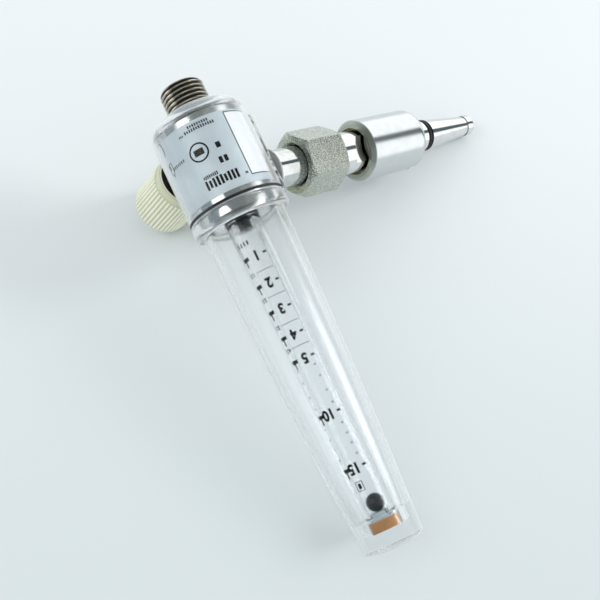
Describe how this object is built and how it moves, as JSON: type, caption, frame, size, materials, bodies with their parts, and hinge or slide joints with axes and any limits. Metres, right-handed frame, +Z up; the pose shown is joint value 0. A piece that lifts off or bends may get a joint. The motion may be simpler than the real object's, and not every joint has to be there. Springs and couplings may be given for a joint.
{
  "type": "oxygen flowmeter",
  "caption": "Wall oxygen flowmeter: clear tapered shroud over a flow tube with a ball float, valve body with turning knob, threaded outlet and wall probe.",
  "frame": {"origin": "on the probe's axis, in the middle of the sealing land that sits in the wall outlet", "axes": "+Z up along the flow tube as in use, +Y along the probe into the wall, +X along the knob's axis away from the body"},
  "size_m": [0.0543, 0.1301, 0.1517],
  "materials": {
    "polished_body": "polished",
    "dark_nickel": "machined, warm nickel plate",
    "clear_plastic": "clear, glossy",
    "clear_tube": "clear, glossy, printed scale",
    "silver_label": "matte silver film with black print",
    "black_rubber": "matte",
    "grey_seal": "matte",
    "brass_insert": "machined",
    "black_float": "glossy",
    "grey_stop": "satin",
    "tan_cushion": "matte",
    "polished_plate": "polished nickel plate",
    "satin_nickel": "fine blasted nickel plate",
    "satin_sleeve": "satin turned",
    "cream_plastic": "satin moulded"
  },
  "bodies": {
    "root": {"valve_body": "polished_body", "outlet_fitting": "dark_nickel", "body_sleeve": "clear_plastic", "label_wrap": "silver_label", "collar_gasket": "black_rubber", "shroud": "clear_plastic", "flow_tube": "clear_tube", "tube_gasket": "black_rubber", "orifice_insert": "dark_nickel", "float_stop": "grey_stop", "end_cushion": "tan_cushion", "inlet_gasket": "grey_seal", "inlet_washer": "polished_plate", "inlet_stub": "polished_plate", "inlet_filter": "brass_insert", "union_seal": "grey_seal", "union_nut": "satin_nickel", "probe_body": "polished_plate", "indexing_sleeve": "satin_sleeve", "probe_o_ring": "black_rubber", "valve_seat": "brass_insert", "valve_bonnet": "dark_nickel"},
    "stem_seal": {"stem_o_ring": "black_rubber"},
    "valve_spindle": {"valve_stem": "polished_plate", "knob": "cream_plastic", "knob_set_screw": "dark_nickel"},
    "float": {"float_ball": "black_float"}
  },
  "joints": [
    {"name": "valve_travel", "type": "slide", "parent": "root", "child": "stem_seal", "axis": [1, 0, 0], "range_m": [0, 0.0012]},
    {"name": "knob_turn", "type": "hinge", "parent": "stem_seal", "child": "valve_spindle", "pos_m": [0.018, -0.0844, -0.0105], "axis": [1, 0, 0], "range_deg": [0, 540]},
    {"name": "float_rise", "type": "slide", "parent": "root", "child": "float", "axis": [0, 0, 1], "range_m": [-0.086, 0]}
  ],
  "couplings": [
    {"joint": "knob_turn", "follows": "valve_travel", "rad_per_m": 7854}
  ]
}
